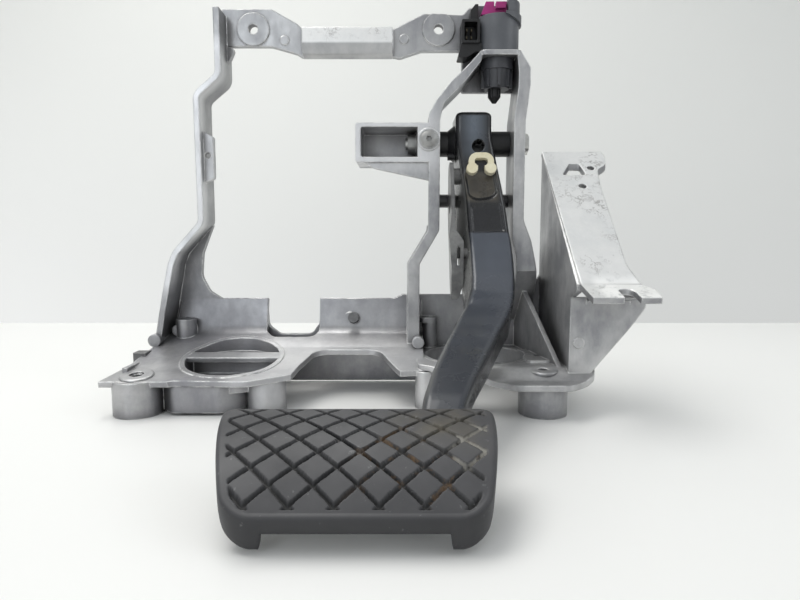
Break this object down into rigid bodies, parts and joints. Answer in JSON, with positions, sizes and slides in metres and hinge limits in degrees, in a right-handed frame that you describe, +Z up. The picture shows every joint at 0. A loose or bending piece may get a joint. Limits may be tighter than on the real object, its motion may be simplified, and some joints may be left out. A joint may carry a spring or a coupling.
{
  "type": "brake pedal with cast bracket",
  "caption": "Brake pedal in a die-cast bracket, with a lozenge-grooved rubber pad, brake light switch and a slanted carrier for the accelerator.",
  "frame": {"origin": "midway between the two front bolt holes, in the plane of the bulkhead feet", "axes": "+X towards the accelerator side, +Y to the rear, +Z up from the bulkhead feet towards the pivot"},
  "size_m": [0.4124, 0.319, 0.3335],
  "materials": {
    "cast": "satin, as cast",
    "black_paint": "satin black",
    "rubber": "worn, matt",
    "black_plastic": "moulded",
    "grey_plastic": "moulded",
    "magenta_plastic": "moulded",
    "cream_nylon": "moulded",
    "zinc_steel": "zinc plated",
    "contact": "tinned"
  },
  "bodies": {
    "bracket": {"bracket_base_left": "cast", "bracket_base_middle": "cast", "bracket_servo_plate": "cast", "bracket_carrier": "cast", "bracket_column": "cast", "bracket_crossbar": "cast", "bracket_left_leg": "cast", "bracket_right_leg": "cast", "bracket_head": "cast", "spacer_sleeve": "zinc_steel", "pivot_bolt": "zinc_steel", "pivot_washer": "zinc_steel", "pivot_nut": "zinc_steel", "cross_tube": "black_paint", "cross_tube_bolt": "zinc_steel", "torx_screw": "zinc_steel", "switch_body": "grey_plastic", "switch_cap": "grey_plastic", "connector_shell": "black_plastic", "connector_pins": "contact", "switch_collar": "black_plastic"},
    "pedal": {"pedal_arm": "black_paint", "link_plate": "black_paint", "pad_rubber": "rubber", "pad_plate": "black_paint", "spring_clip": "cream_nylon", "pivot_tube": "black_paint", "left_bush": "black_plastic", "right_bush": "black_plastic"},
    "plunger": {"switch_plunger": "black_plastic"},
    "lock": {"switch_lock": "magenta_plastic"}
  },
  "joints": [
    {"name": "pedal_hinge", "type": "hinge", "parent": "bracket", "child": "pedal", "pos_m": [0.11, 0.092, 0.218], "axis": [-1, 0, 0], "range_deg": [0, 25]},
    {"name": "plunger_slide", "type": "slide", "parent": "bracket", "child": "plunger", "axis": [0, 0, 1], "range_m": [0, 0.004]},
    {"name": "lock_slide", "type": "slide", "parent": "bracket", "child": "lock", "axis": [0, 0, 1], "range_m": [0, 0.002]}
  ],
  "couplings": [
    {"joint": "plunger_slide", "follows": "pedal_hinge", "m_per_rad": 0.0091}
  ]
}
